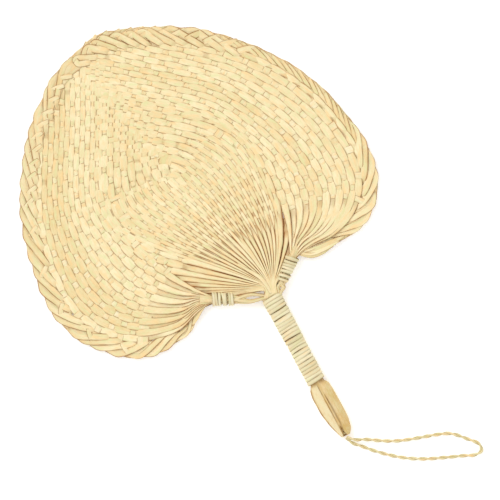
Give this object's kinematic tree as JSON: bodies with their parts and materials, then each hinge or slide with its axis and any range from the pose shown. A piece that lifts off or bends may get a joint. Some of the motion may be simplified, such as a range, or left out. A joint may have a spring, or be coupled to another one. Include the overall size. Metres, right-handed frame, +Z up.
{
  "type": "palm leaf hand fan",
  "caption": "Heart-shaped hand fan woven from palm leaf strips with a plaited rim, a straw-bound grip, a carved butt and a wrist cord.",
  "frame": {"origin": "centre of the fan's outline without its wrist cord, on the surface it lies on", "axes": "+Y along the blade's midline, away from the handle; +X to the blade's right; +Z up from the table"},
  "size_m": [0.2998, 0.4796, 0.0127],
  "materials": {
    "blade_straw": "dry palm leaf, matt with a slight sheen",
    "weft_straw": "dry palm leaf, matt",
    "binding_straw": "pale split straw, satin",
    "stalk": "dried stalk, cut with a knife",
    "twine": "two-ply plant twine"
  },
  "bodies": {
    "fan": {"finger_left_01": "blade_straw", "finger_left_02": "blade_straw", "finger_left_03": "blade_straw", "finger_left_04": "blade_straw", "finger_left_05": "blade_straw", "finger_left_06": "blade_straw", "finger_left_07": "blade_straw", "finger_left_08": "blade_straw", "finger_left_09": "blade_straw", "finger_right_01": "blade_straw", "finger_right_02": "blade_straw", "finger_right_03": "blade_straw", "finger_right_04": "blade_straw", "finger_right_05": "blade_straw", "finger_right_06": "blade_straw", "finger_right_07": "blade_straw", "finger_right_08": "blade_straw", "finger_right_09": "blade_straw", "weft_01": "weft_straw", "weft_02": "weft_straw", "weft_03": "weft_straw", "weft_04": "weft_straw", "weft_05": "weft_straw", "weft_06": "weft_straw", "weft_07": "weft_straw", "weft_08": "weft_straw", "weft_09": "weft_straw", "weft_10": "weft_straw", "rim_plait": "blade_straw", "leaf_base": "weft_straw", "left_tip_bundle": "blade_straw", "right_tip_bundle": "blade_straw", "left_bundle_binding": "binding_straw", "right_bundle_binding": "binding_straw", "grip_binding": "binding_straw", "stem": "stalk", "cord_knot": "twine"},
    "loop": {"wrist_cord": "twine"}
  },
  "joints": [
    {"name": "loop_swing", "type": "hinge", "parent": "fan", "child": "loop", "pos_m": [-0.02142, -0.19946, 0.0044], "axis": [0, 0, 1], "range_deg": [-100, 30]}
  ]
}
